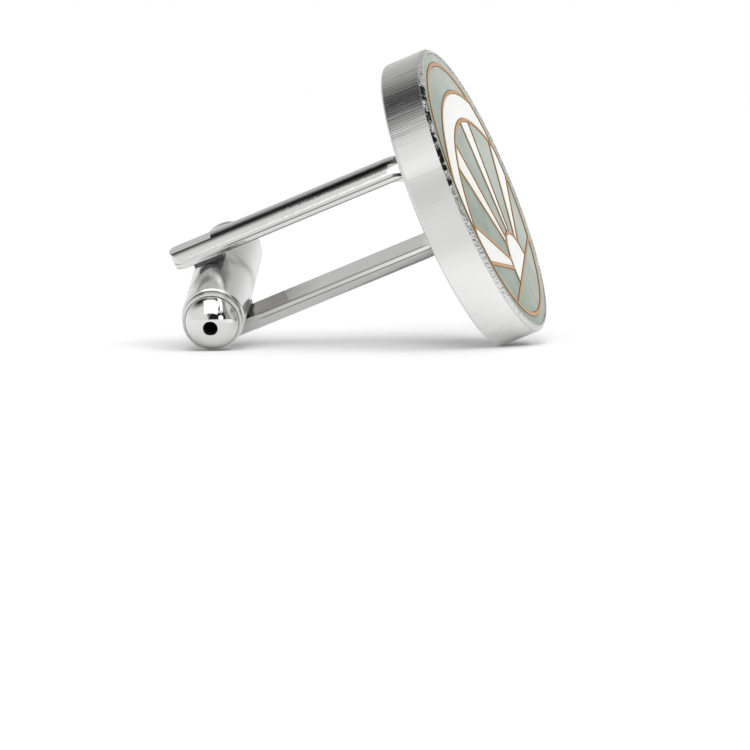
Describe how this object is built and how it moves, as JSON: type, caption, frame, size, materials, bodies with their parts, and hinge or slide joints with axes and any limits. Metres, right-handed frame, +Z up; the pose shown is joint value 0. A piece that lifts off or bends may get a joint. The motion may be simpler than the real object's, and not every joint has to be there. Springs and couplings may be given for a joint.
{
  "type": "cufflink",
  "caption": "Round enamelled cufflink: thick plated head, fork of two parallel posts and a barrel toggle that swivels on a pin between their ends.",
  "frame": {"origin": "On the surface the cufflink lies on, under the middle of its bounding box.", "axes": "+Z up. The cufflink lies as it comes to rest: on the back edge of the head, on the end of the lower post and on one end of the barrel. +X points from the barrel to the head, in plan; +Y points away from the barrel's lower end."},
  "size_m": [0.0238, 0.0192, 0.0188],
  "materials": {
    "plated_casting": "polished",
    "polished_plating": "polished",
    "steel": "satin",
    "solder": "satin",
    "copper_plating": "polished",
    "sage_enamel": "gloss",
    "white_enamel": "gloss"
  },
  "bodies": {
    "fixed": {"head_case": "plated_casting", "medallion_plate": "copper_plating", "enamel_border": "sage_enamel", "enamel_base": "sage_enamel", "enamel_sun": "white_enamel", "enamel_ray_1": "sage_enamel", "enamel_ray_2": "white_enamel", "enamel_ray_3": "sage_enamel", "enamel_ray_4": "white_enamel", "enamel_ray_5": "sage_enamel", "enamel_ray_6": "white_enamel", "enamel_ray_7": "sage_enamel", "enamel_ray_8": "white_enamel", "enamel_ray_9": "sage_enamel", "enamel_band": "white_enamel", "enamel_crown": "sage_enamel", "fork": "plated_casting", "solder_pad": "solder", "pivot_rivet": "steel", "washer_upper": "steel", "washer_lower": "steel"},
    "toggle": {"toggle_body": "polished_plating", "end_cap_near": "polished_plating", "end_cap_far": "polished_plating"}
  },
  "joints": [
    {"name": "toggle_swivel", "type": "hinge", "parent": "fixed", "child": "toggle", "pos_m": [-0.00867, -0.00026, 0.0039], "axis": [-0.349, -0.3308, 0.8768], "continuous": true}
  ]
}
